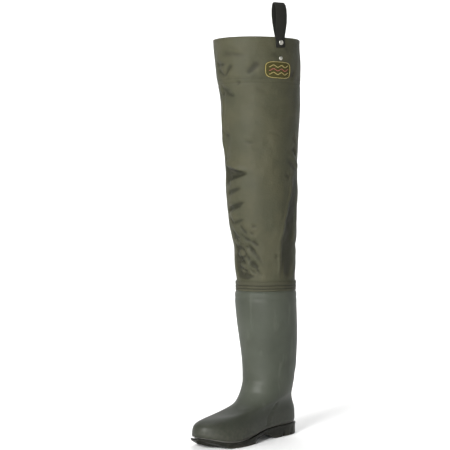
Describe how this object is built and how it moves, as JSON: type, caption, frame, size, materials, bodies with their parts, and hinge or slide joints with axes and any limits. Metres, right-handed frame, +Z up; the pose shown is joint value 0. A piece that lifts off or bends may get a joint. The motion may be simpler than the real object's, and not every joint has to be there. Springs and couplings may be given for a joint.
{
  "type": "hip wader",
  "caption": "Left hip wader: moulded boot foot on a lugged sole, cloth leg up to the hip, belt strap loop at the outer rim.",
  "frame": {"origin": "middle of the rear heel lug's flat underside, on the floor", "axes": "+Z up along the leg, -Y toward the toe, +X toward the outer side of the left leg"},
  "size_m": [0.1772, 0.3036, 0.917],
  "materials": {
    "outsole": "matt black moulded sole",
    "upper": "soft satin grey-green moulded PVC",
    "leg": "olive coated woven nylon, soft sheen",
    "seam_band": "olive stitched tape",
    "strap": "black woven webbing",
    "rivet": "plated, worn soft",
    "patch": "sewn cloth patch",
    "insole": "grey felt sock"
  },
  "bodies": {
    "root": {"outsole": "outsole", "upper": "upper", "insole": "insole", "leg": "leg", "seam_band": "seam_band", "strap": "strap", "rivet": "rivet", "stud": "rivet", "patch": "patch"}
  },
  "joints": []
}
